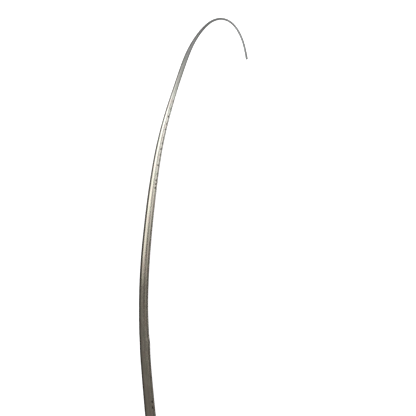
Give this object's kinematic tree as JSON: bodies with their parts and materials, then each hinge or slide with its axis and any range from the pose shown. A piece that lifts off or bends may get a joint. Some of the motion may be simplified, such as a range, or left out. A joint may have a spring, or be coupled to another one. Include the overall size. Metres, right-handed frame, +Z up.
{
  "type": "stripped ostrich feather quill",
  "caption": "Bare painted shaft of a plume: a round base, a long tapering stem with a groove down its inner side, and a thread-thin tip that hooks over.",
  "frame": {"origin": "on the surface that the quill lies on, under the middle of its bounding box", "axes": "+Y from the round base towards the hooked tip, +X to the side that the hook bends to, +Z up from the surface"},
  "size_m": [0.0784, 0.41, 0.007],
  "materials": {
    "silver_paint": "satin"
  },
  "bodies": {
    "root": {"quill": "silver_paint"}
  },
  "joints": []
}
